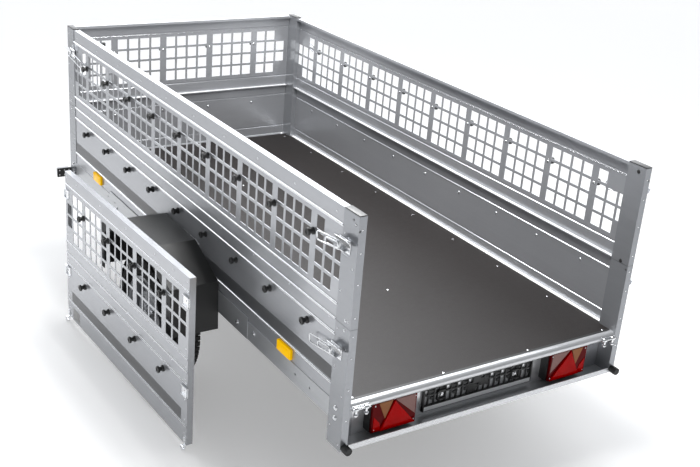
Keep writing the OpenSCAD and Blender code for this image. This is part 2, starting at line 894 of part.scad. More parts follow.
module tailgate_panel() {
    color(zinc)
        on_gate() {
            lower_board(0, board_w, 0, gate_seam, gate_drop + 48, gate_drop + 235);
            for (x = [0, board_w - sheet_t])
                translate([x, 0, 0]) cube([sheet_t, flange_w, gate_seam]);
        }
}

module tailgate_mesh() {
    color(zinc)
        on_gate() {
            mesh_board(0, board_w, gate_seam, gate_centres, 2);
            for (x = [0, board_w - sheet_t])
                translate([x, 0, gate_seam]) cube([sheet_t, flange_w, mesh_h]);
        }
}

module tailgate_knobs() {
    color(black)
        on_gate()
            for (x = gate_bars) {
                translate([x, 0, gate_drop + 200]) knob();
                translate([x, 0, gate_drop + mesh_knob_z - deck_z]) knob();
            }
}

// Hinge eyes under both lower corners and strike plates for the latches at both ends
module tailgate_fittings() {
    color(bright)
        on_gate() {
            for (x = [4, board_w - 10])
                difference() {
                    translate([x, sheet_t - foot_h, -foot_h]) cube([6, foot_h, foot_h]);
                    translate([x - 1, sheet_t - foot_h / 2, -foot_h / 2]) rotate([0, 90, 0]) cylinder(r = 6, h = 8);
                }
            for (z = [gate_drop + panel_h - 85, gate_drop + panel_h + mesh_h - 100], x = [-8, board_w - 42])
                difference() {
                    translate([x, -9, z - 22]) cube([50, 9, 44]);
                    translate([x + 6, -10, z - 16]) cube([38, 7, 32]);
                }
        }
}

deck_panel();
side_rail_left();
side_rail_right();
front_beam();
rear_beam();
cross_members();
drawbar_left();
drawbar_right();
coupling_head();
coupling_handle();
jockey_clamp();
jockey_tube();
jockey_crank();
jockey_leg();
jockey_fork();
jockey_wheel();
axle_beam();
axle_arms();
tyre_left();
rim_left();
hub_left();
tyre_right();
rim_right();
hub_right();
mudguard_left();
mudguard_right();
side_panel_left();
side_panel_right();
front_panel();
side_mesh_left();
side_mesh_right();
front_mesh();
lower_posts();
upper_posts();
post_caps();
rope_knobs();
latches();
hinge_brackets();
tail_lamp_bodies();
tail_lamp_lenses();
plate_holder();
side_reflectors();
marker_brackets();
marker_lamps();
rear_buffers();
tailgate_panel();
tailgate_mesh();
tailgate_knobs();
tailgate_fittings();
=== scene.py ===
"""Looks of the box trailer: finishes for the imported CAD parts, and the fittings that are modelled here."""

import math
from itertools import product

import bmesh
import bpy
from mathutils import Matrix, Vector


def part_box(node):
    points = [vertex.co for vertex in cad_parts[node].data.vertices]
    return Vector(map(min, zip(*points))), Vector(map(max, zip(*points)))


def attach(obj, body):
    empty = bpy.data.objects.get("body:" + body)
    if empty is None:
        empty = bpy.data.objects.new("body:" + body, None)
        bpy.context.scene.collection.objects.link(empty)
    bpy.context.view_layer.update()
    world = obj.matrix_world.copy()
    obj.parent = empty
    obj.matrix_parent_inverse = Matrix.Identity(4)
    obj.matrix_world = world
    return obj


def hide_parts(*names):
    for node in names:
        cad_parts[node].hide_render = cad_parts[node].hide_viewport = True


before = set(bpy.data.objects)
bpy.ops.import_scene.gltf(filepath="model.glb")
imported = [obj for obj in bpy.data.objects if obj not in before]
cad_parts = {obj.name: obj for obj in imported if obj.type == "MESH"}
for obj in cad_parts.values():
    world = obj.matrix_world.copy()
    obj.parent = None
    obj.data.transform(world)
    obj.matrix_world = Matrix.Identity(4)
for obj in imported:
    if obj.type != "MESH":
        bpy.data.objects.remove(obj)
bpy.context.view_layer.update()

MM = 0.001
UP = Vector((0, 0, 1))
RIGHT = Vector((1, 0, 0))
SIDES = (-1, 1)
NAMED_SIDES = ((-1, "left"), (1, "right"))

LOWER_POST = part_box("lower_posts")
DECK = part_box("deck_panel")[1].z
REAR = LOWER_POST[0].y
FRONT = LOWER_POST[1].y
SIDE = LOWER_POST[1].x
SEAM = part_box("upper_posts")[0].z
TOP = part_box("upper_posts")[1].z
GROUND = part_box("tyre_left")[0].z
LENGTH = FRONT - REAR

# heights are above the deck, and GATE_DROP more above the lower edge of the tailgate
SHEET = 2 * MM
BAYS = 10
BAY = 0.27
END_KNOBS = (-0.405, -0.135, 0.135, 0.405)
KNOB_ROWS = (0.200, 0.5348)
LATCH_ROWS = (0.203, 0.586)
BEADS = (0.048, 0.235, 0.345, 0.626)
STRIPE = (0.057, 0.107)
GATE_DROP = 0.036
GATE_WIDTH = 1.236
GATE_FLANGE = 27 * MM
GATE_TURN = 2
POST_WIDTH = 0.09
POST_DEPTH = 0.029
RIM_RADIUS = 0.165
LAMP_IN = 0.319
LAMP_WIDTH = 0.188
LAMP_FOOT = -0.162
LAMP_HEIGHT = 0.120
HOLDER_DROP = 10 * MM

# how far a thin film stands out of the sheet that it lies on, and how far it reaches into it
FILM_OUT = 0.35 * MM
FILM_IN = 0.05 * MM
# how far a rivet's or bolt's head reaches into what it sits on
HEAD_SUNK = 0.2 * MM
# faces that meet at less than this are shaded as one
SMOOTH_BEND = math.radians(32)


# ---------- shader helpers ----------

class Value:
    """A number or vector in a shader. An expression on values adds its Math nodes."""

    def __init__(self, nodes, socket):
        self.nodes = nodes
        self.socket = socket

    def _math(self, operation, first, second):
        return self.nodes.node("Math", {"operation": operation}, {0: first, 1: second})

    def __add__(self, other):
        return self._math("ADD", self, other)

    def __sub__(self, other):
        return self._math("SUBTRACT", self, other)

    def __rsub__(self, other):
        return self._math("SUBTRACT", other, self)

    def __mul__(self, other):
        return self._math("MULTIPLY", self, other)

    __radd__ = __add__
    __rmul__ = __mul__


class Nodes:
    """The nodes of one material, or of the world"""

    def __init__(self, tree):
        self.tree = tree

    def node(self, kind, settings=None, sockets=None, out=0):
        """Adds a node and gives back one of its outputs"""
        made = self.tree.nodes.new("ShaderNode" + kind)
        for key, value in (settings or {}).items():
            setattr(made, key, value)
        for key, value in (sockets or {}).items():
            self.feed(made.inputs[key], value)
        return Value(self, made.outputs[out])

    def feed(self, socket, value):
        if isinstance(value, Value):
            self.tree.links.new(value.socket, socket)
        else:
            socket.default_value = value


class Finish(Nodes):
    """One material: a Principled shader with the constants given, and nodes that vary its look"""

    def __init__(self, name, constants):
        self.material = bpy.data.materials.new(name)
        self.material.use_nodes = True
        super().__init__(self.material.node_tree)
        self.shader = self.tree.nodes["Principled BSDF"]
        for socket, value in constants.items():
            self.show(socket, value)

    def show(self, socket, value):
        """Feeds one of the surface's own sockets"""
        self.feed(self.shader.inputs[socket], value)

    def place(self, stretch=(1, 1, 1)):
        """Object coordinates, stretched for a pattern that runs one way"""
        coords = self.node("TexCoord", out=3)
        return self.node("Mapping", {}, {0: coords, 3: stretch})

    def noise(self, scale, detail=3.0, stretch=(1, 1, 1)):
        return self.node("TexNoise", {}, {0: self.place(stretch), "Scale": scale, "Detail": detail})

    def between(self, factor, first, second):
        """A colour between two colours"""
        return self.node("Mix", {"data_type": "RGBA"}, {0: factor, 6: first, 7: second}, out=2)

    def bump(self, height, strength, distance):
        sockets = {"Strength": strength, "Distance": distance, "Height": height}
        self.show("Normal", self.node("Bump", {}, sockets))


def grey(shade):
    """An opaque grey, or an opaque colour given as three numbers"""
    if isinstance(shade, (int, float)):
        shade = (shade, shade, shade)
    return (*shade, 1.0)


# ---------- finishes ----------

def zinc_sheet(name, dark, light, roughness, flake=320.0):
    """Zinc-coated sheet: small flakes, faint rolling streaks and slightly wavy reflections"""
    f = Finish(name, {"Metallic": 0.6})
    flakes = f.node("TexVoronoi", {}, {0: f.place(), "Scale": flake}, out=1)
    flake_tone = f.node("SeparateColor", {}, {0: flakes})
    clouds = f.noise(2.3, 4.0)
    streaks = f.noise(9.0, 2.0, stretch=(1.0, 0.12, 9.0))
    tone = clouds * 0.55 + streaks * 0.35 + flake_tone * 0.10
    f.show("Base Color", f.between(tone, grey(dark), grey(light)))
    f.show("Roughness", roughness + streaks * 0.06 + clouds * 0.08 - 0.07)
    f.bump(f.noise(1.7, 2.0) * 0.5, 0.35, 0.006)
    return f


def bright_zinc():
    """Electroplated fittings: bright, with small scuffs"""
    f = Finish("bright_zinc", {"Metallic": 1.0})
    scuffs = f.noise(90.0, 5.0)
    f.show("Base Color", f.between(scuffs, grey((0.68, 0.69, 0.71)), grey((0.92, 0.93, 0.94))))
    f.show("Roughness", 0.16 + scuffs * 0.16)
    f.bump(f.noise(60.0, 3.0), 0.12, 0.001)
    return f


def painted_highlight_edge():
    """Rounded edges of pressed beads and folded lips, made pale and matte: a painted highlight, in streaks
    along the edge
    """
    f = Finish("painted_highlight_edge", {"Metallic": 0.1})
    # streaks in the painted highlight along the edge
    highlight_streaks = f.noise(30.0, 3.0, stretch=(1.0, 0.2, 1.0))
    f.show("Base Color", f.between(highlight_streaks, grey((0.88, 0.885, 0.89)), grey((0.96, 0.965, 0.97))))
    f.show("Roughness", 0.30 + highlight_streaks * 0.10)
    return f


def deck_film():
    """Film-faced plywood: a dark brown film with a fine pressed mesh"""
    f = Finish("plywood_film", {"Specular IOR Level": 0.22})
    clouds = f.noise(1.6, 3.0)
    fine = f.noise(55.0, 4.0)
    across, along = (f.node("TexWave", {"bands_direction": way}, {0: f.place(), "Scale": 110.0})
                     for way in "XY")
    mesh = f.node("Math", {"operation": "MAXIMUM"}, {0: across, 1: along})
    f.show("Base Color", f.between(clouds * 0.6 + fine * 0.4, grey((0.012, 0.0100, 0.0094)),
                                   grey((0.019, 0.0160, 0.0152))))
    f.show("Roughness", 0.40 + fine * 0.12)
    f.bump(mesh + fine * 0.3, 0.25, 0.0005)
    return f


def black_plastic(name="black_plastic", tone=0.012, roughness=0.42):
    """Moulded plastic with a fine grain"""
    f = Finish(name, {})
    grain = f.noise(420.0, 2.0)
    clouds = f.noise(6.0, 3.0)
    f.show("Base Color", f.between(clouds, grey(tone), grey(tone * 2.0)))
    f.show("Roughness", roughness + grain * 0.12 - 0.06)
    f.bump(grain, 0.2, 0.0004)
    return f


def tyre_rubber():
    """Black rubber, a little dusty in patches"""
    f = Finish("tyre_rubber", {"Specular IOR Level": 0.35})
    dust = f.noise(14.0, 6.0)
    f.show("Base Color", f.between(dust, grey(0.010), grey((0.032, 0.031, 0.030))))
    f.show("Roughness", 0.62 + dust * 0.25)
    f.bump(f.noise(300.0, 3.0), 0.25, 0.0005)
    return f


def rim_paint():
    """Silver paint on a steel wheel"""
    f = Finish("rim_paint", {"Metallic": 0.75, "Coat Weight": 0.4, "Coat Roughness": 0.15})
    flake = f.noise(900.0, 2.0)
    clouds = f.noise(12.0, 3.0)
    f.show("Base Color", f.between(clouds, grey((0.50, 0.51, 0.53)), grey((0.64, 0.65, 0.67))))
    f.show("Roughness", 0.30 + flake * 0.12)
    return f


def lens(name, dark, light, painted_glow=0.0):
    """Moulded lens with rows of small prisms under a smooth face. A reflector's lens can be given an even
    glow: painted light that stands in for the light its prisms send straight back
    """
    f = Finish(name, {"Specular IOR Level": 0.05, "Emission Color": grey(light),
                      "Emission Strength": painted_glow})
    prisms = f.node("TexVoronoi", {"distance": "CHEBYCHEV"},
                    {0: f.place(), "Scale": 170.0, "Randomness": 0.0})
    clouds = f.noise(25.0, 3.0)
    f.show("Base Color", f.between(prisms * 0.9 + clouds * 0.4, grey(light), grey(dark)))
    f.show("Roughness", 0.08 + clouds * 0.1)
    f.bump(prisms, 0.35, 0.0006)
    return f


def film(name, dark, light):
    """Thin printed film, laid on the sheet"""
    f = Finish(name, {"Coat Weight": 0.3, "Coat Roughness": 0.2})
    clouds = f.noise(5.0, 4.0)
    f.show("Base Color", f.between(clouds, grey(dark), grey(light)))
    f.show("Roughness", 0.35 + f.noise(260.0, 2.0) * 0.1)
    return f


def floor_paint():
    """Pale, even floor"""
    f = Finish("floor_paint", {"Specular IOR Level": 0.0, "Emission Color": grey(1.0),
                               "Emission Strength": 0.30})
    clouds = f.noise(0.6, 3.0)
    f.show("Base Color", f.between(clouds, grey(0.80), grey(0.83)))
    f.show("Roughness", 0.85 + clouds * 0.05)
    return f


FINISHES = {
    "sheet": zinc_sheet("zinc_sheet", (0.38, 0.39, 0.41), (0.48, 0.49, 0.51), 0.24),
    "frame": zinc_sheet("zinc_frame", (0.42, 0.43, 0.445), (0.54, 0.55, 0.565), 0.31, flake=160.0),
    "post": zinc_sheet("zinc_post", (0.29, 0.30, 0.315), (0.38, 0.39, 0.41), 0.24),
    "beam": zinc_sheet("zinc_beam", (0.56, 0.57, 0.585), (0.70, 0.71, 0.725), 0.20),
    # the edge finish is a painted highlight: pale matte lips that stand for the light that rounded edges
    # catch
    "edge": painted_highlight_edge(),
    "bright": bright_zinc(),
    "deck": deck_film(),
    "black": black_plastic(),
    "guard": black_plastic("mudguard_plastic", 0.010, 0.5),
    "tyre": tyre_rubber(),
    "rubber": black_plastic("soft_rubber", 0.014, 0.6),
    "rim": rim_paint(),
    "red": lens("red_lens", (0.24, 0.0, 0.0), (0.62, 0.0, 0.0)),
    "dark_red": lens("dark_red_lens", (0.06, 0.0, 0.001), (0.17, 0.0, 0.001)),
    # the side reflectors' lens glows evenly: painted light, as they are no lamps
    "amber": lens("amber_lens", (1.0, 0.46, 0.0), (1.0, 0.60, 0.0), painted_glow=0.25),
    "amber_tail": lens("amber_tail_lens", (0.20, 0.075, 0.03), (0.42, 0.19, 0.09)),
    "clear": lens("clear_lens", (0.16, 0.08, 0.075), (0.38, 0.24, 0.22)),
    "window": lens("clear_window", (0.55, 0.56, 0.57), (0.85, 0.86, 0.87)),
    "stripe": film("stripe_film", (0.048, 0.050, 0.054), (0.062, 0.064, 0.068)),
    "white": film("white_film", (0.78, 0.79, 0.80), (0.88, 0.89, 0.90)),
    "label": film("grey_label", (0.22, 0.215, 0.21), (0.28, 0.275, 0.27)),
    "floor": floor_paint(),
}
# the finish of each CAD node, by its node name in model.glb
NODE_FINISHES = {
    "deck": ["deck_panel"],
    "frame": ["side_rail_left", "side_rail_right", "front_beam", "cross_members", "drawbar_left",
              "drawbar_right", "axle_beam", "axle_arms", "jockey_tube", "jockey_leg", "jockey_fork"],
    "sheet": ["side_panel_left", "side_panel_right", "front_panel", "side_mesh_left", "side_mesh_right",
              "front_mesh", "tailgate_panel", "tailgate_mesh"],
    "post": ["lower_posts", "upper_posts"],
    "beam": ["rear_beam"],
    "bright": ["coupling_head", "jockey_clamp", "latches", "hinge_brackets", "tailgate_fittings",
               "hub_left", "hub_right"],
    "black": ["coupling_handle", "jockey_crank", "post_caps", "rope_knobs", "tail_lamp_bodies",
              "plate_holder", "marker_brackets", "tailgate_knobs"],
    "guard": ["mudguard_left", "mudguard_right"],
    "tyre": ["tyre_left", "tyre_right"],
    "rubber": ["jockey_wheel", "rear_buffers"],
    "rim": ["rim_left", "rim_right"],
    "red": ["tail_lamp_lenses"],
    "amber": ["side_reflectors"],
    "window": ["marker_lamps"],
}


def dress_nodes():
    """Gives every CAD node its finish"""
    for finish, names in NODE_FINISHES.items():
        for name in names:
            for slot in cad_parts[name].material_slots:
                slot.material = FINISHES[finish].material


# ---------- mesh helpers ----------

class Shape:
    """A mesh under construction, in metres"""

    def __init__(self):
        self.bm = bmesh.new()

    def stamp(self, other, at=Matrix()):
        """Adds a copy of another shape, placed by a matrix"""
        mesh = bpy.data.meshes.new("stamp")
        other.bm.to_mesh(mesh)
        mesh.transform(at)
        self.bm.from_mesh(mesh)
        bpy.data.meshes.remove(mesh)
        return self

    def bevel(self, edges, offset, steps=1):
        bmesh.ops.bevel(self.bm, geom=list(edges), offset=offset, segments=steps, profile=0.5,
                        affect="EDGES", material=-1)
        return self

    def close(self):
        """Joins what touches in this shape and turns its faces outwards"""
        bmesh.ops.remove_doubles(self.bm, verts=self.bm.verts, dist=1e-6)
        bmesh.ops.recalc_face_normals(self.bm, faces=self.bm.faces)
        return self


def block(low, high, edge=0.5 * MM, steps=1):
    """A box with softened edges"""
    shape = Shape()
    low, high = Vector(low), Vector(high)
    bmesh.ops.create_cube(shape.bm, size=1.0)
    bmesh.ops.scale(shape.bm, vec=high - low, verts=shape.bm.verts)
    bmesh.ops.translate(shape.bm, vec=(low + high) / 2, verts=shape.bm.verts)
    if edge:
        shape.bevel(shape.bm.edges, edge, steps)
    return shape


def prism(outline, low, high, edge=0.4 * MM, steps=1):
    """An outline of (x, z) points, drawn out from y = low to y = high, with softened edges"""
    shape = Shape()
    corners = [shape.bm.verts.new((x, low, z)) for x, z in outline]
    face = shape.bm.faces.new(corners)
    drawn = bmesh.ops.extrude_face_region(shape.bm, geom=[face], use_keep_orig=True)["geom"]
    moved = [part for part in drawn if isinstance(part, bmesh.types.BMVert)]
    bmesh.ops.translate(shape.bm, vec=(0, high - low, 0), verts=moved)
    bmesh.ops.recalc_face_normals(shape.bm, faces=shape.bm.faces)
    if edge:
        shape.bevel(shape.bm.edges, edge, steps)
    return shape


def lathe(profile, steps=24):
    """A line of (radius, height) points spun about the z axis"""
    shape = Shape()
    points = [shape.bm.verts.new((radius, 0, height)) for radius, height in profile]
    lines = [shape.bm.edges.new(pair) for pair in zip(points, points[1:])]
    bmesh.ops.spin(shape.bm, geom=points + lines, cent=(0, 0, 0), axis=(0, 0, 1), dvec=(0, 0, 0),
                   angle=2 * math.pi, steps=steps, use_merge=True, use_normal_flip=False,
                   use_duplicate=False)
    return shape.close()


def wire(points, radius, sides=10, closed=False):
    """A round wire along a line of points"""
    shape = Shape()
    points = [Vector(p) for p in points]
    count = len(points)
    rings = []
    for index, point in enumerate(points):
        before = points[index - 1] if closed or index else point
        after = points[(index + 1) % count] if closed or index < count - 1 else point
        turn = (after - before).to_track_quat("Z", "Y").to_matrix().to_4x4()
        ring = bmesh.ops.create_circle(shape.bm, cap_ends=False, segments=sides, radius=radius,
                                       matrix=Matrix.Translation(point) @ turn)["verts"]
        rings.append(list({edge for vert in ring for edge in vert.link_edges}))
    pairs = list(zip(rings, rings[1:]))
    if closed:
        pairs.append((rings[-1], rings[0]))
    for first, second in pairs:
        bmesh.ops.bridge_loops(shape.bm, edges=first + second)
    if not closed:
        for ring in (rings[0], rings[-1]):
            bmesh.ops.holes_fill(shape.bm, edges=ring, sides=0)
    return shape


def arc(centre, radius, start, end, steps):
    """Points along an arc in the xz plane, with its angles in degrees from +X towards +Z"""
    angles = [math.radians(start + (end - start) * i / steps) for i in range(steps + 1)]
    return [Vector(centre) + radius * (math.cos(a) * RIGHT + math.sin(a) * UP) for a in angles]


def facing(place, outwards):
    """A matrix that stands a fitting made along +Z on a surface, pointing outwards"""
    turn = UP.rotation_difference(Vector(outwards)).to_matrix().to_4x4()
    return Matrix.Translation(Vector(place)) @ turn


def dome(radius, height, steps=14):
    """A round head, such as a rivet or a coach bolt"""
    return lathe([(0, height), (radius * 0.5, height * 0.93), (radius * 0.85, height * 0.6),
                  (radius, height * 0.15), (radius, -HEAD_SUNK), (0, -HEAD_SUNK)], steps)


def hex_bolt(radius, height):
    """A hexagon head on a washer"""
    washer = [(0, height * 0.25), (radius * 1.45, height * 0.25), (radius * 1.5, 0), (0, -HEAD_SUNK)]
    head = Shape()
    bmesh.ops.create_cone(head.bm, cap_ends=True, segments=6, radius1=radius, radius2=radius,
                          depth=height * 0.8, matrix=Matrix.Translation((0, 0, height * 0.65)))
    head.bevel(head.bm.edges, radius * 0.08)
    return lathe(washer, 18).stamp(head)


def rib(start, end, y, z, radius):
    """A round rib along x"""
    return wire([(start, y, z), (end, y, z)], radius, 8)


def strip(profile, start, end, z):
    """A strip along x with a profile of (y, z) points in millimetres, standing at a height"""
    swap = Matrix(((0, 1, 0, 0), (1, 0, 0, 0), (0, 0, 1, 0), (0, 0, 0, 1)))
    made = prism([(y * MM, up * MM) for y, up in profile], start, end, 0.2 * MM)
    return Shape().stamp(made, Matrix.Translation((0, 0, z)) @ swap)


def piece(name, shape, finish, body="trailer", replaces=()):
    """Turns a shape into a finished piece that rides on a body"""
    shape.close()
    mesh = bpy.data.meshes.new(name)
    shape.bm.to_mesh(mesh)
    shape.bm.free()
    for face in mesh.polygons:
        face.use_smooth = True
    mesh.set_sharp_from_angle(angle=SMOOTH_BEND)
    mesh.materials.append(FINISHES[finish].material)
    made = bpy.data.objects.new(name, mesh)
    bpy.context.scene.collection.objects.link(made)
    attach(made, body)
    if replaces:
        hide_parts(*replaces)
    return made


# ---------- places ----------

def side_frame(side):
    """On the right (1) or left (-1) wall: x forwards from the rear, -y outwards, z up from the deck"""
    corner = Matrix.Translation((SIDE, REAR, DECK))
    return mirrored(side) @ corner @ Matrix.Rotation(math.radians(90), 4, "Z")


def wall_frames():
    """The frames of the three walls, each with the two ends of its boards"""
    reach = SIDE - POST_DEPTH - 4 * MM
    front = Matrix.Translation((0, FRONT, DECK)) @ Matrix.Rotation(math.pi, 4, "Z")
    ends = (POST_WIDTH + 1 * MM, LENGTH - POST_WIDTH - 1 * MM)
    return [(side_frame(side), *ends) for side in SIDES] + [(front, -reach, reach)]


def mirrored(side):
    """Leaves what is made for the right side there (1), or mirrors it to the left (-1)"""
    return Matrix.Diagonal((side, 1, 1, 1))


def rear_frame(side):
    """At the rear: x outwards from the middle, -y rearwards, z up from the deck"""
    return mirrored(side) @ Matrix.Translation((0, REAR, DECK))


def gate_frame():
    """On the tailgate: x from its front end to its rear end, -y outwards, z up from its lower edge"""
    low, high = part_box("tailgate_panel")
    turn = math.radians(GATE_TURN - 90)
    reach = Vector((GATE_WIDTH * math.cos(turn), GATE_WIDTH * math.sin(turn), 0))
    rear_corner = Vector((high.x - GATE_FLANGE * math.cos(math.radians(GATE_TURN)), low.y, low.z))
    return Matrix.Translation(rear_corner - reach) @ Matrix.Rotation(turn, 4, "Z")


# ---------- body fittings ----------

def stripes():
    """Dark stripes above the lowest bead of the side walls"""
    start, end = POST_WIDTH + 2 * MM, LENGTH - POST_WIDTH - 2 * MM
    low, high = STRIPE
    for side, name in NAMED_SIDES:
        band = block((start, SHEET - FILM_OUT, low), (end, SHEET + FILM_IN, high), 0.1 * MM)
        piece(f"stripe_{name}", Shape().stamp(band, side_frame(side)), "stripe")


def small_rivet():
    return dome(3.2 * MM, 1.3 * MM, 10)


def rail_bolts():
    """Bolt heads on the side rails and below the posts"""
    shape = Shape()
    bolt = hex_bolt(6.5 * MM, 5 * MM)
    places = [(772, -2, -50), (1050, -2, -50), (1590, -2, -50), (2040, -2, -50), (640, 0, -38),
              (47, 0, -29), (46, 0, -68), (2657, 0, -29), (2655, 0, -68)]
    for side in SIDES:
        for x, y, z in places:
            shape.stamp(bolt, side_frame(side) @ facing(Vector((x, y, z)) * MM, (0, -1, 0)))
    piece("rail_bolts", shape, "bright")


def post_rivets():
    """Rivets along the corner posts and along the joints of the panels"""
    shape = Shape()
    rivet = small_rivet()
    big = dome(5.5 * MM, 2.6 * MM)
    # the rear posts reach lower than the front ones, and so do their two lowest rivets
    rear_only, both = [-0.160, -0.110], [0.030, 0.120, 0.210, 0.262, 0.310, 0.400, 0.500, 0.604, 0.654]
    margins = (18 * MM, 76 * MM)
    for side in SIDES:
        place = side_frame(side)
        for base, inwards, heights in ((0, 1, rear_only + both), (LENGTH, -1, both)):
            for index, z in enumerate(heights):
                x = base + inwards * margins[index % 2]
                shape.stamp(rivet, place @ facing((x, 0, z), (0, -1, 0)))
            for z in (0.272, 0.309):
                shape.stamp(big, place @ facing((base + inwards * 34 * MM, 0, z), (0, -1, 0)))
        for z in (-0.060, 0.060, 0.180, 0.262, 0.330, 0.450, 0.560, 0.640):
            shape.stamp(rivet, place @ facing((0, POST_DEPTH / 2, z), (-1, 0, 0)))
        # rivets through the joint of the panels, and below the top edge
        for bay in range(BAYS):
            for z in (0.278, 0.655):
                shape.stamp(rivet, place @ facing((BAY * (bay + 0.5), SHEET, z), (0, -1, 0)))
    piece("post_rivets", shape, "bright")


def post_plugs():
    """Dark plugs in the spare holes of the rear posts"""
    shape = Shape()
    small, large = dome(4 * MM, 0.8 * MM, 12), dome(8 * MM, 1.6 * MM, 16)
    outwards, rearwards, inwards = (0, -1, 0), (-1, 0, 0), (0, 1, 0)
    plugs = [(small, (0.032, 0, 0.666), outwards), (small, (0.017, 0, 0.654), outwards),
             (small, (0, 5 * MM, 0.636), rearwards), (large, (0.042, POST_DEPTH, 0.295), inwards),
             (small, (0.008, POST_DEPTH, 0.271), inwards), (large, (0.036, POST_DEPTH, 0.664), inwards)]
    for side in SIDES:
        for plug, place, way in plugs:
            shape.stamp(plug, side_frame(side) @ facing(place, way))
    piece("post_plugs", shape, "black")


def hems():
    """Rolled lower edges of the mesh boards, where they lap over the boards below, in bright plated zinc
    that is paler than the sheet: partly real reflection, partly a painted highlight
    """
    shape = Shape()
    profile = [(0.3, 0), (-3, 0.5), (-3, 3), (0.3, 5.6)]
    for place, start, end in wall_frames():
        shape.stamp(strip(profile, start, end, SEAM - DECK), place)
    piece("hems", shape, "bright")
    gate = Shape().stamp(gate_strip(profile, SEAM - DECK), gate_frame())
    piece("gate_hem", gate, "bright", "tailgate")


def gate_strip(profile, z):
    """A strip across the tailgate, at the height that it has on the walls"""
    return strip(profile, 3 * MM, GATE_WIDTH - 3 * MM, GATE_DROP + z)


def bead_lines():
    """Crisp pressed edges of the beads: sloped lips above each bead outside, and below each bead inside, in
    bright plated zinc that is paler than the sheet, so their lines are partly real reflection and partly a
    painted highlight
    """
    shape, gate = Shape(), Shape()
    outer = [(0.3, 0.5), (-3.2, 0.5), (-3.2, 1.9), (0.3, 4.8)]
    inner = [(1.7, -3.2), (4.2, -5.3), (4.2, -6.0), (1.7, -6.8)]
    for z in BEADS:
        for place, start, end in wall_frames():
            for profile in (outer, inner):
                shape.stamp(strip(profile, start, end, z), place)
        gate.stamp(gate_strip(outer, z), gate_frame())
    piece("bead_lines", shape, "bright")
    piece("gate_bead_lines", gate, "bright", "tailgate")


def ledge_lips():
    """Rounded lips of the flanges where the boards meet inside, in the pale edge finish: a painted highlight
    """
    shape = Shape()
    for place, start, end in wall_frames():
        for y, rise, radius in ((19, -1.8, 1.5), (19, 2.2, 1.5), (8, 2.2, 1.2)):
            shape.stamp(rib(start, end, y * MM, SEAM - DECK + rise * MM, radius * MM), place)
    piece("ledge_lips", shape, "edge")


def deck_trims():
    """Folded trims along the deck at the foot of the side walls, in the pale edge finish: a painted
    highlight
    """
    shape = Shape()
    start, end = POST_WIDTH + 2 * MM, LENGTH - POST_WIDTH - 2 * MM
    for side in SIDES:
        place = side_frame(side)
        shape.stamp(block((start, 3 * MM, 0), (end, 20 * MM, 2 * MM)), place)
        for y in (9 * MM, 18.5 * MM):
            shape.stamp(rib(start, end, y, 2 * MM, 2 * MM), place)
    piece("deck_trims", shape, "edge")


def post_joints():
    """The joint between the lower and the upper posts"""
    shape = Shape()
    proud, thin = 0.25 * MM, 0.6 * MM
    for side in SIDES:
        for start, end in ((-proud, POST_WIDTH), (LENGTH - POST_WIDTH, LENGTH + proud)):
            joint = block((start, -proud, SEAM - DECK - thin),
                          (end, POST_DEPTH + proud, SEAM - DECK + thin), 0)
            shape.stamp(joint, side_frame(side))
    piece("post_joints", shape, "black")


def knob_bolts():
    """Round bolt heads inside the walls, behind the rope knobs"""
    shape = Shape()
    head = dome(6 * MM, 2.8 * MM)
    for side in SIDES:
        for bar in range(1, BAYS):
            for z in KNOB_ROWS:
                shape.stamp(head, side_frame(side) @ facing((BAY * bar, 4 * MM, z), (0, 1, 0)))
    for x in END_KNOBS:
        for z in KNOB_ROWS:
            shape.stamp(head, facing((x, FRONT - 4 * MM, DECK + z), (0, -1, 0)))
    piece("knob_bolts", shape, "bright")


def deck_screws():
    """Screw heads along the edges of the deck and over the cross members"""
    shape = Shape()
    head = dome(5 * MM, 1.0 * MM, 12)
    first = 0.04
    places = [(x, first + 0.325 * k) for k in range(8) for x in (-0.59, 0.59)]
    places += [(-0.59, 2.62), (0.59, 2.62), (-0.2, first), (0.2, first), (0.0, 0.69), (0.0, 1.34),
               (0.0, 1.99), (-0.32, 2.58), (0.0, 2.58), (0.32, 2.58)]
    for x, y in places:
        shape.stamp(head, facing((x, REAR + y, DECK), UP))
    piece("deck_screws", shape, "bright")


def post_caps():
    """Plastic caps in the tops of the corner posts"""
    shape = Shape()
    lid_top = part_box("post_caps")[1].z
    wall = 2.2 * MM
    for side in SIDES:
        for y in (REAR, FRONT - POST_WIDTH):
            lid = block((SIDE - POST_DEPTH, y, TOP), (SIDE, y + POST_WIDTH, lid_top), 1.2 * MM, 2)
            plug = block((SIDE - POST_DEPTH + wall, y + wall, TOP - 12 * MM),
                         (SIDE - wall, y + POST_WIDTH - wall, TOP), 0)
            shape.stamp(lid, mirrored(side)).stamp(plug, mirrored(side))
    piece("caps", shape, "black", replaces=("post_caps",))


def reflectors():
    """Amber side reflectors with a rounded edge, whose lens glows a little: painted light"""
    for side, name in NAMED_SIDES:
        shape = Shape()
        for x in (0.401, 2.291):
            shape.stamp(reflector(x), side_frame(side))
        piece(f"side_reflector_{name}", shape, "amber",
              replaces=("side_reflectors",) if side == 1 else ())


def reflector(x):
    """A reflector centred on x, with rounded corners, standing out from the wall"""
    half_width, half_height, corner, z = 50 * MM, 21 * MM, 4 * MM, 17 * MM
    outline = []
    for sx, sz, start in ((1, 1, 0), (-1, 1, 90), (-1, -1, 180), (1, -1, 270)):
        centre = (x + sx * (half_width - corner), 0, z + sz * (half_height - corner))
        outline += [(p.x, p.z) for p in arc(centre, corner, start, start + 90, 4)]
    return prism(outline, -8 * MM, 2 * MM, 0.9 * MM, 2)


# ---------- rear lamps and plate holder ----------

def on_lamp(x, z):
    """A point on the lamp's lens, given outwards and upwards as shares of it"""
    return LAMP_IN + x * LAMP_WIDTH, LAMP_FOOT + z * LAMP_HEIGHT


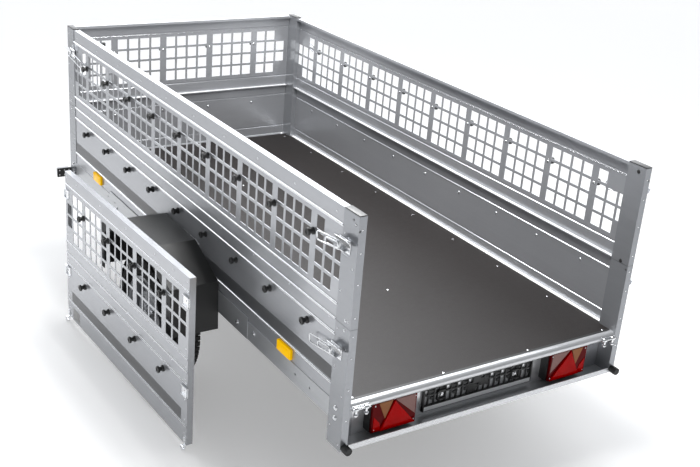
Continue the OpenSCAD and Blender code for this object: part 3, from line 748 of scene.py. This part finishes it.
def tail_lamps():
    """Rear lamps: a triangular reflector in the middle, with the other lenses around it"""
    parts = [
        ("base", "dark_red", [(0.0, 0.0), (1.0, 0.0), (1.0, 1.0), (0.0, 1.0)], 27, 38),
        ("clear", "clear", [(0.02, 0.30), (0.04, 0.97), (0.50, 0.97)], 24.5, 28),
        ("amber", "amber_tail", [(0.56, 0.97), (0.87, 0.97), (0.715, 0.40)], 24.5, 28),
        ("red", "red", [(0.78, 0.03), (0.97, 0.03), (0.97, 0.55), (0.83, 0.30)], 25, 28),
        ("triangle", "red", [(0.02, 0.03), (0.82, 0.03), (0.525, 0.95)], 20.5, 28),
    ]
    for side, name in NAMED_SIDES:
        for part, finish, outline, low, high in parts:
            cover = prism([on_lamp(x, z) for x, z in outline], low * MM, high * MM, 0.6 * MM)
            made = piece(f"lamp_{part}_{name}", Shape().stamp(cover, rear_frame(side)), finish)
            if part == "base" and side == 1:
                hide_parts("tail_lamp_lenses")
        screws = Shape()
        for x, z in ((0.04, 0.10), (0.04, 0.90), (0.95, 0.10), (0.95, 0.90)):
            across, up = on_lamp(x, z)
            at = facing((across, 26.5 * MM, up), (0, -1, 0))
            screws.stamp(dome(3 * MM, 2.2 * MM, 10), rear_frame(side) @ at)
        piece(f"lamp_screws_{name}", screws, "white")
        window = block((LAMP_IN - 2 * MM, 42 * MM, LAMP_FOOT + 22 * MM),
                       (LAMP_IN + 1 * MM, 66 * MM, LAMP_FOOT + 92 * MM), MM)
        piece(f"plate_light_{name}", Shape().stamp(window, rear_frame(side)), "window")


def plate_holder():
    """Number plate holder: an open lattice with a blank strip along its lower edge"""
    low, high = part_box("plate_holder")
    low = low - Vector((0, 0, HOLDER_DROP))
    w, h = (high.x - low.x) / MM, (high.z - low.z) / MM
    lattice = Shape()

    def bar(u0, v0, u1, v1, depth=1.0):
        """A rib from (u0, v0) to (u1, v1), in millimetres from the lower left corner, and a share deep"""
        lattice.stamp(block((low.x + u0 * MM, high.y - (high.y - low.y) * depth, low.z + v0 * MM),
                            (low.x + u1 * MM, high.y, low.z + v1 * MM)))

    # the outer frame and two rails across it
    bar(0, 0, w, 22, 0.85)
    bar(0, h - 5, w, h)
    bar(0, 0, 6, h)
    bar(w - 6, 0, w, h)
    bar(0, 60, w, 66, 0.6)
    bar(0, 86, w, 91, 0.6)
    # uprights, pads between them, two clip frames and three stiffened plates
    for u in range(24, int(w) - 10, 26):
        bar(u, 20, u + 5, h, 0.62)
    for u in range(37, int(w) - 10, 52):
        bar(u, 40, u + 13, 52, 0.5)
        bar(u - 8, 72, u + 20, 80, 0.4)
    for u in (64, w - 104):
        bar(u, 34, u + 40, 40)
        bar(u, 68, u + 40, 74)
        bar(u, 34, u + 5, 74)
        bar(u + 35, 34, u + 40, 74)
    bar(w / 2 - 48, 26, w / 2 - 10, 58, 0.55)
    bar(w / 2 + 6, 44, w / 2 + 46, 76, 0.55)
    bar(w / 2 - 30, 66, w / 2 + 6, h - 8, 0.75)
    piece("plate_lattice", lattice, "black", replaces=("plate_holder",))
    label = block((low.x + 5 * MM, low.y + 0.2 * MM, low.z + 3 * MM),
                  (high.x - 5 * MM, low.y + 2.2 * MM, low.z + 19 * MM), 0.4 * MM)
    piece("plate_blank_strip", label, "white")
    screws = Shape()
    face, middle = high.y - 6 * MM, low.z + 54 * MM
    for x in (low.x + 84 * MM, high.x - 84 * MM):
        screws.stamp(hex_bolt(5 * MM, 4 * MM), facing((x, face, middle), (0, -1, 0)))
        screws.stamp(block((x - 12 * MM, face, middle - 10 * MM),
                           (x + 12 * MM, face + 3 * MM, middle + 10 * MM)))
    piece("plate_screws", screws, "bright")


# ---------- latches ----------

def latch_shape():
    """An over-centre latch, open: x forwards from the post's edge, -y outwards, z about its middle"""
    shape = Shape()
    shape.stamp(block((36 * MM, -2.5 * MM, -24 * MM), (104 * MM, 0, 22 * MM), 0.8 * MM))
    for z in (-18, 14):
        shape.stamp(block((52 * MM, -17 * MM, z * MM), (100 * MM, -2 * MM, (z + 3) * MM), 0.8 * MM))
    shape.stamp(wire([(92 * MM, -13 * MM, -20 * MM), (92 * MM, -13 * MM, 20 * MM)], 3.2 * MM))
    # wing of the lever, turned out from the wall
    wing = [(0, -5), (30, -16), (86, -14), (86, 14), (30, 18), (0, 12)]
    tilt = Matrix.Translation((10 * MM, -20 * MM, 18 * MM)) @ Matrix.Rotation(math.radians(24), 4, "X")
    shape.stamp(prism([(x * MM, z * MM) for x, z in wing], -1.2 * MM, 1.2 * MM, 0.6 * MM), tilt)
    # two wire loops reaching forwards, in millimetres
    bend = 8
    for low, high, reach, y in ((-16, 16, 212, -13), (-10, 10, 150, -18)):
        path = [Vector((88, y, high)), Vector((reach - bend, y, high))]
        path += arc((reach - bend, y, high - bend), bend, 90, 0, 4)[1:]
        path += arc((reach - bend, y, low + bend), bend, 0, -90, 4)
        path += [Vector((88, y, low))]
        path += arc((80, y, low + bend), bend, -90, -180, 3)
        path += arc((80, y, high - bend), bend, 180, 90, 3)
        drop = Matrix.Rotation(math.radians(8), 4, "Y")
        loop = wire([p * MM for p in path], 2.6 * MM, closed=True)
        shape.stamp(loop, Matrix.Translation((10 * MM, 0, 6 * MM)) @ drop)
    for x, z in ((42, -15), (42, 14), (98, -15), (98, 14)):
        shape.stamp(dome(3.4 * MM, 1.6 * MM, 10), facing(Vector((x, -2.5, z)) * MM, (0, -1, 0)))
    return shape


def latches():
    """Two latches on each rear post, and one on each front post, a little lower than their strikes"""
    shape = Shape()
    latch = latch_shape()
    lower, upper = (z - 20 * MM for z in LATCH_ROWS)
    for side in SIDES:
        place = side_frame(side)
        for z in (lower, upper):
            shape.stamp(latch, place @ Matrix.Translation((0, 0, z)))
        shape.stamp(latch, place @ Matrix.Translation((LENGTH, 0, upper)) @ mirrored(-1))
    piece("wire_latches", shape, "bright", replaces=("latches",))


# ---------- wheels ----------

def axle_frame(side):
    """About a wheel's centre: z outwards along the axle"""
    low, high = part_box("tyre_left" if side < 0 else "tyre_right")
    centre = (low + high) / 2
    return Matrix.Translation(centre) @ mirrored(side) @ Matrix.Rotation(math.radians(90), 4, "Y")


def tyre_carcass(radius, width):
    """Sidewalls, shoulders and the base of the tread"""

    def points(base, offsets, edge):
        """Points given in millimetres from a radius, and inwards from an edge of the tyre"""
        return [(base + out * MM, edge + inwards * MM) for out, inwards in offsets]

    half, bead = width / 2, 57 * MM
    line = points(RIM_RADIUS, [(1, 14), (1, 0), (6, -4), (16, -7), (18, -5)], -bead)
    line += points(RIM_RADIUS, [(30, 5), (42, 1.2), (44, 0.1), (54, 0.1), (56, 1.2)], -half)
    line += points(radius, [(-32, 3), (-22, 7), (-13, 13), (-7, 19)], -half)
    outer = line + [(r, -h) for r, h in reversed(line)]
    inner = points(RIM_RADIUS, [(12, -12)], bead) + points(RIM_RADIUS, [(34, -16)], half)
    inner += points(radius, [(-24, -18), (-17, -34)], half)
    inner += [(r, -h) for r, h in reversed(inner)]
    return lathe(outer + inner + [outer[0]], 96)


def tread_blocks(radius, width):
    """Rows of tread blocks around the tyre, lower at its shoulders"""
    shape = Shape()
    base = radius - 10 * MM
    # each row's edges as shares of the width, its slant in degrees, its offset in pitches and its drop
    rows = [(-0.46, -0.31, 0, 0.0, 3.5), (-0.28, -0.12, -14, 0.5, 0), (-0.09, 0.09, 0, 0.25, 0),
            (0.12, 0.28, 14, 0.5, 0), (0.31, 0.46, 0, 0.0, 3.5)]
    pitches = 64
    reach = 0.40 * 2 * math.pi * radius / pitches
    for left, right, slant, phase, drop in rows:
        tile = block((base, -reach, left * width), (radius - drop * MM, reach, right * width), 1.0 * MM)
        middle = Matrix.Translation((0, 0, (left + right) / 2 * width))
        lean = middle @ Matrix.Rotation(math.radians(slant), 4, "X") @ middle.inverted()
        for k in range(pitches):
            turn = Matrix.Rotation(2 * math.pi * (k + phase) / pitches, 4, "Z")
            shape.stamp(tile, turn @ lean)
    return shape


def tyres():
    """Tyres with their tread blocks and valves"""
    stem = lathe([(0, 0), (4 * MM, 0), (4.5 * MM, 12 * MM), (3 * MM, 16 * MM), (3.2 * MM, 30 * MM),
                  (0, 32 * MM)], 12)
    for side, name in NAMED_SIDES:
        low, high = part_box(f"tyre_{name}")
        radius, width = (high.z - low.z) / 2, high.x - low.x
        place = axle_frame(side)
        body = f"wheel_{name}"
        carcass = Shape().stamp(tyre_carcass(radius, width), place)
        piece(f"tyre_carcass_{name}", carcass, "tyre", body, replaces=(f"tyre_{name}",))
        piece(f"tyre_tread_{name}", Shape().stamp(tread_blocks(radius, width), place), "tyre", body)
        valve = Shape().stamp(stem, place @ Matrix.Translation((0.142, 0, 4 * MM)))
        piece(f"valve_{name}", valve, "rubber", body)


# ---------- marker brackets and rear beam ----------

def marker_bolts():
    """Pale bolts on the front marker brackets"""
    low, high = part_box("marker_brackets")
    shape = Shape()
    for side in SIDES:
        for from_end in (62, 38, 12):
            for z in (low.z + 12 * MM, high.z - 12 * MM):
                at = facing((side * (high.x - from_end * MM), low.y, z), (0, -1, 0))
                shape.stamp(dome(3.5 * MM, 2 * MM, 10), at)
    piece("marker_bolts", shape, "white")


def hinge_pins():
    """Pins for the tailgate along the nose of the rear beam, each held by two bolts that hang from it"""
    low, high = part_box("hinge_brackets")
    shape = Shape()
    y, z = low.y + 8 * MM, high.z - 12 * MM
    near, far = high.x - 74 * MM, high.x - 2 * MM
    pin = wire([(near, y, z), (far, y, z)], 4.5 * MM, 12)
    stem = lathe([(0, 0), (4.5 * MM, 0), (5 * MM, 1.5 * MM), (5 * MM, 15 * MM), (0, 15 * MM)], 12)
    eye = lathe([(0, -7 * MM), (7.5 * MM, -7 * MM), (8.5 * MM, -5.5 * MM), (8.5 * MM, 5.5 * MM),
                 (7.5 * MM, 7 * MM), (0, 7 * MM)], 18)
    along = Matrix.Rotation(math.radians(90), 4, "Y")
    back = block((near + 4 * MM, high.y - 3 * MM, z - 8 * MM), (far - 2 * MM, high.y, z + 10 * MM))
    foot = z - 20 * MM
    for side in SIDES:
        mirror = mirrored(side)
        shape.stamp(pin, mirror).stamp(back, mirror)
        for x in (near + 16 * MM, far - 14 * MM):
            shape.stamp(eye, mirror @ Matrix.Translation((x, y + 1 * MM, z)) @ along)
            shape.stamp(stem, mirror @ Matrix.Translation((x, y, foot)))
            shape.stamp(hex_bolt(6.2 * MM, 7 * MM), mirror @ facing((x, y, foot), (0, 0, -1)))
    piece("hinge_pins", shape, "bright", replaces=("hinge_brackets",))


def beam_ends():
    """Folded plates that close the ends of the rear beam, with black blocks in the open ends of the side
    rails above them as painted shade, the beam's lip with a rounded edge painted pale as a highlight, and a
    black strip along the joint between the beam and the deck, partly a dark joint and partly painted shade
    in the gap"""
    low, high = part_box("rear_beam")
    end, web, shelf = high.x, high.y - SHEET, low.z + SHEET
    sunk = web + 0.2 * MM
    outline = [(end - 2 * MM, shelf), (end - 60 * MM, shelf)]
    outline += [(p.x, p.z) for p in arc((end - 44 * MM, 0, 6 * MM), 16 * MM, 180, 90, 6)]
    outline += [(end - 2 * MM, 22 * MM)]
    plate = prism(outline, web - 1.8 * MM, sunk)
    # a black block in each rail's open end: painted shade inside the hollow
    slot = block((end - 44 * MM, web - 1.0 * MM, 23 * MM), (end - 6 * MM, sunk, 58 * MM))
    plates, slots = Shape(), Shape()
    for side in SIDES:
        plates.stamp(plate, mirrored(side))
        slots.stamp(slot, mirrored(side))
    piece("beam_end_plates", plates, "sheet")
    piece("rail_end_painted_shade", slots, "black")
    reach = end - 3 * MM
    # a pale rib along the lip: painted highlight
    lip = wire([(x, REAR + 1.2 * MM, low.z + 20 * MM) for x in (-reach, reach)], 1.7 * MM)
    piece("beam_lip_edge", lip, "edge")
    # a black strip where the deck meets the beam: partly a dark joint, partly painted shade in the gap
    joint = block((-reach, REAR + 25 * MM, DECK - MM), (reach, REAR + 36 * MM, DECK + 1.2 * MM), 0.3 * MM)
    piece("deck_rear_joint", joint, "black")


def buffers():
    """Rubber buffers at the ends of the rear beam"""
    low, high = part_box("rear_buffers")
    z = (low.z + high.z) / 2
    radius = (high.z - low.z) / 2
    depth = high.y - low.y
    rubber = lathe([(0, depth - 1 * MM), (radius * 0.66, depth - 1 * MM), (radius * 0.70, depth),
                    (radius * 0.86, depth), (radius * 0.97, depth - 1.5 * MM), (radius, depth - 4 * MM),
                    (radius, depth * 0.25), (radius * 0.86, depth * 0.20), (radius * 0.86, 0), (0, 0)], 28)
    shape = Shape()
    for side in SIDES:
        shape.stamp(rubber, facing((side * (high.x - radius), REAR, z), (0, -1, 0)))
    piece("buffers", shape, "rubber", replaces=("rear_buffers",))


# ---------- tailgate ----------

def gate_fittings(place):
    """Strikes for the latches at both edges of the tailgate, and the hinge eyes at its lower corners"""
    strike = block((0, -2.5 * MM, -20 * MM), (50 * MM, 0, 20 * MM), 0.6 * MM)
    for z in (-22, 19):
        strike.stamp(block((0, -9 * MM, z * MM), (50 * MM, -1 * MM, (z + 3) * MM), 0.8 * MM))
    strike.stamp(dome(4 * MM, 2.4 * MM, 12), facing((27 * MM, -2.5 * MM, 0), (0, -1, 0)))
    strike.stamp(wire([(7 * MM, -6 * MM, -20 * MM), (7 * MM, -6 * MM, 20 * MM)], 2.8 * MM))
    foot = block((5 * MM, -2.5 * MM, -14 * MM), (21 * MM, 0.5 * MM, 34 * MM), 0.6 * MM)
    inside, outside, reach = 6 * MM, 9.5 * MM, 8 * MM
    eye = lathe([(inside, -reach), (outside, -reach), (outside, reach), (inside, reach), (inside, -reach)])
    along = Matrix.Rotation(math.radians(90), 4, "Y")
    foot.stamp(eye, Matrix.Translation((13 * MM, -9 * MM, -12 * MM)) @ along)
    for z in (10, 25):
        foot.stamp(dome(4 * MM, 2.2 * MM, 12), facing((13 * MM, -2.5 * MM, z * MM), (0, -1, 0)))
    shape = Shape()
    for edge in (place, place @ Matrix.Translation((GATE_WIDTH, 0, 0)) @ mirrored(-1)):
        for z in LATCH_ROWS:
            shape.stamp(strike, edge @ Matrix.Translation((-8 * MM, 0, GATE_DROP + z)))
        shape.stamp(foot, edge)
    piece("gate_fittings", shape, "bright", "tailgate", replaces=("tailgate_fittings",))


def gate_details():
    """What the tailgate carries: its stripe, label, rivets, fittings and the bolts behind its knobs"""
    place = gate_frame()
    low, high = (GATE_DROP + z for z in STRIPE)
    band = block((0.055, -FILM_OUT, low), (GATE_WIDTH - 0.05, FILM_IN, high), 0.1 * MM)
    piece("stripe_gate", Shape().stamp(band, place), "stripe", "tailgate")
    label = block((0.062, -FILM_OUT, 12 * MM), (0.142, FILM_IN, 62 * MM), 0.1 * MM)
    piece("gate_label", Shape().stamp(label, place), "label", "tailgate")
    rivets = Shape()
    edges = (0.018, GATE_WIDTH - 0.018)
    edge_rows = (0.02, 0.05, 0.11, 0.20, 0.29, 0.345, 0.42, 0.52, 0.62, 0.70)
    columns, joint_rows = (0.135, 0.4, 0.67, 0.94, 1.1), (0.316, 0.70)
    for x, z in [*product(edges, edge_rows), *product(columns, joint_rows)]:
        rivets.stamp(small_rivet(), place @ facing((x, 0, z), (0, -1, 0)))
    piece("gate_rivets", rivets, "bright", "tailgate")
    gate_fittings(place)
    heads = Shape()
    for x in END_KNOBS:
        for z in KNOB_ROWS:
            at = facing((GATE_WIDTH / 2 + x, SHEET, GATE_DROP + z), (0, 1, 0))
            heads.stamp(dome(6 * MM, 2.8 * MM), place @ at)
    piece("gate_knob_bolts", heads, "bright", "tailgate")


# ---------- stage ----------

def floor():
    """A plain, pale floor under the tyres"""
    shape = Shape()
    bmesh.ops.create_grid(shape.bm, x_segments=4, y_segments=4, size=60.0,
                          matrix=Matrix.Translation((0, -2.0, GROUND)))
    mesh = bpy.data.meshes.new("floor")
    shape.bm.to_mesh(mesh)
    mesh.materials.append(FINISHES["floor"].material)
    made = bpy.data.objects.new("floor", mesh)
    bpy.context.scene.collection.objects.link(made)


def soft_light():
    """One long soft light above the box, which shines straight down"""
    light = bpy.data.lights.new("overhead", "AREA")
    light.shape = "RECTANGLE"
    light.size = 0.9
    light.size_y = 2.6
    light.energy = 100.0
    made = bpy.data.objects.new("overhead", light)
    made.location = (0.0, -2.3, 1.95)
    made.visible_camera = False
    bpy.context.scene.collection.objects.link(made)


def surround():
    """An even pale surround that brightens high in front, and is as pale as the floor where it is seen"""
    world = bpy.data.worlds.new("studio")
    world.use_nodes = True
    nodes = Nodes(world.node_tree)
    lit = nodes.tree.nodes["Background"]
    brightest = Vector((0.30, 0.84, 0.45)).normalized()
    towards = nodes.node("VectorMath", {"operation": "DOT_PRODUCT"},
                         {0: nodes.node("TexCoord"), 1: brightest}, out="Value")
    glow = nodes.node("MapRange", {"interpolation_type": "SMOOTHSTEP"},
                      {"Value": towards, "From Min": 0.62, "From Max": 0.90, "To Min": 0.30, "To Max": 3.2})
    nodes.feed(lit.inputs["Color"], grey((0.95, 0.97, 1.0)))
    nodes.feed(lit.inputs["Strength"], glow)
    backdrop = nodes.node("Background", {}, {"Color": grey(0.97)})
    seen = nodes.node("LightPath", out="Is Camera Ray")
    choice = nodes.node("MixShader", {}, {0: seen, 1: Value(nodes, lit.outputs[0]), 2: backdrop})
    nodes.feed(nodes.tree.nodes["World Output"].inputs["Surface"], choice)
    bpy.context.scene.world = world


def camera():
    """Stands behind the left rear corner, above the walls, and looks down along the box"""
    view = bpy.data.cameras.new("camera")
    view.sensor_width = 36.0
    view.lens = 55.66
    view.clip_end = 200.0
    made = bpy.data.objects.new("camera", view)
    yaw, tilt, roll = math.radians(-34.29), math.radians(90 - 22.78), math.radians(4.776)
    made.matrix_world = (Matrix.Translation((-2.425, -6.225, 2.036)) @ Matrix.Rotation(yaw, 4, "Z")
                         @ Matrix.Rotation(tilt, 4, "X") @ Matrix.Rotation(roll, 4, "Z"))
    bpy.context.scene.collection.objects.link(made)
    bpy.context.scene.camera = made


def main():
    bpy.context.scene.view_settings.view_transform = "Standard"
    camera()
    floor()
    surround()
    soft_light()
    dress_nodes()
    stripes()
    rail_bolts()
    post_rivets()
    post_plugs()
    hems()
    bead_lines()
    ledge_lips()
    deck_trims()
    post_joints()
    knob_bolts()
    deck_screws()
    post_caps()
    reflectors()
    tail_lamps()
    plate_holder()
    latches()
    tyres()
    marker_bolts()
    buffers()
    hinge_pins()
    beam_ends()
    gate_details()


main()
